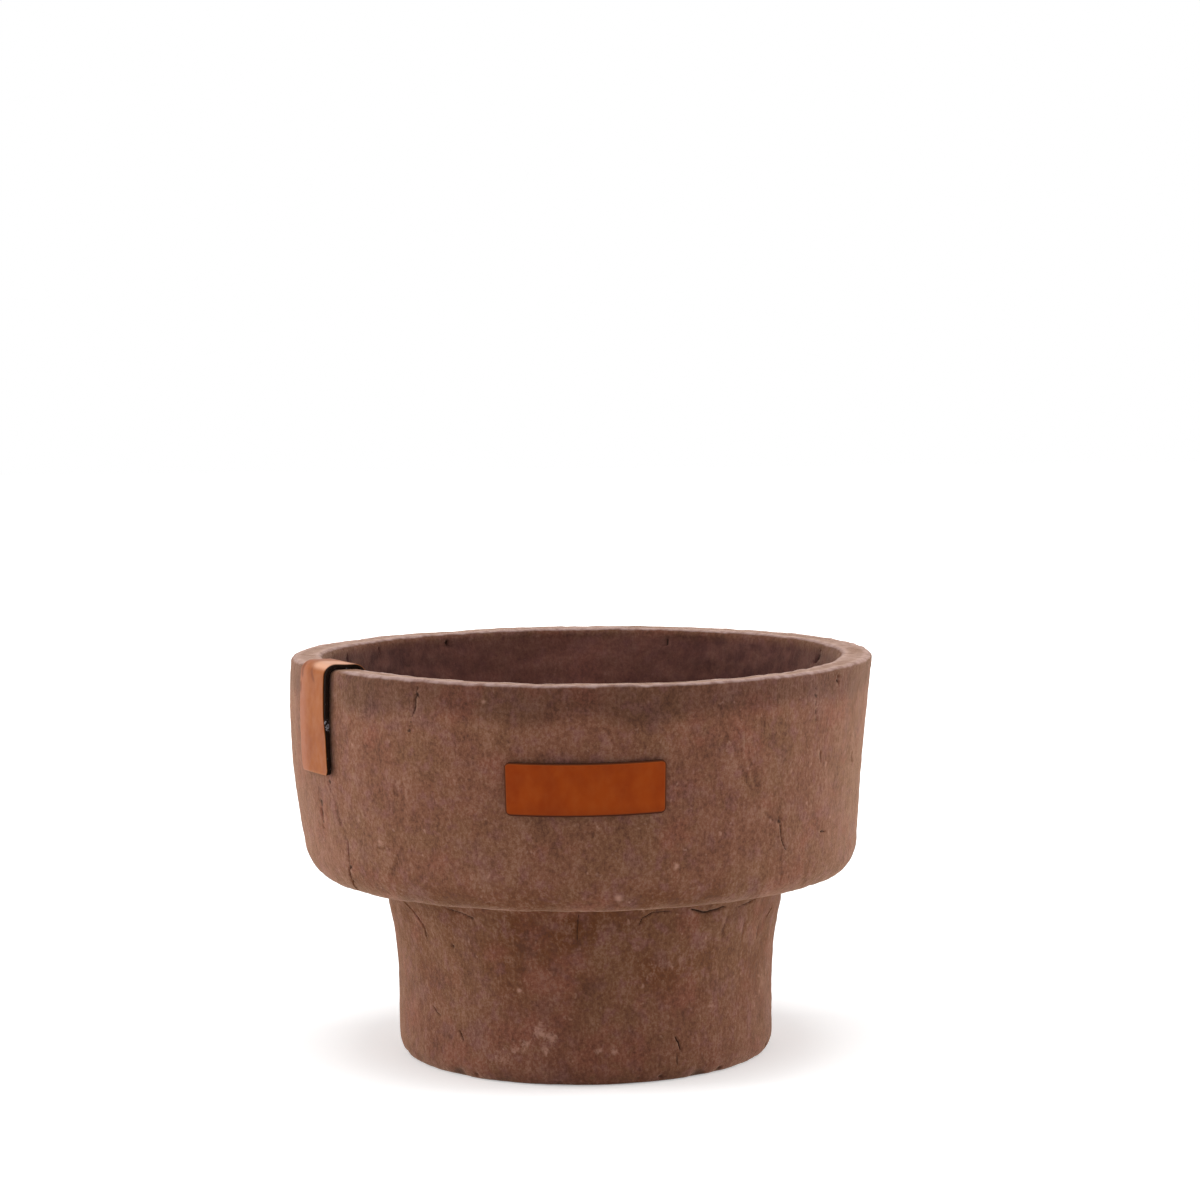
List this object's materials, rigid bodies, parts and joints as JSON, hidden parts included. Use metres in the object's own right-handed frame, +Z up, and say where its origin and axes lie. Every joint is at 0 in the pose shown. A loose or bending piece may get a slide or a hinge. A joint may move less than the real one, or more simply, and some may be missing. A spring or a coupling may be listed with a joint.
{
  "type": "footed planter",
  "caption": "Round fibre planter: a wide open bowl with rounded lower corners on a narrower hollow foot, with a bare leather label and a leather strap folded over the rim.",
  "frame": {"origin": "middle of the flat face that the foot stands on", "axes": "+Z up through the middle of the pot, -Y towards the face with the label, +X to the right of it"},
  "size_m": [0.3009, 0.3011, 0.2105],
  "materials": {
    "moulded_fibre": "rough dry moulded paper and wood fibre, mottled purple brown, with paler worn edges",
    "label_leather": "smooth saddle leather, deep orange brown, low sheen",
    "strap_leather": "smooth saddle leather, light tan, low sheen",
    "leather_backing": "black compressed fibre board behind the tan skin, matt",
    "dried_glue": "dried contact glue, pale and cloudy"
  },
  "bodies": {
    "root": {"pot_body": "moulded_fibre", "label_skin": "label_leather", "label_backing": "leather_backing", "label_glue": "dried_glue", "strap_skin": "strap_leather", "strap_backing": "leather_backing", "strap_glue_outside": "dried_glue", "strap_glue_inside": "dried_glue"}
  },
  "joints": []
}
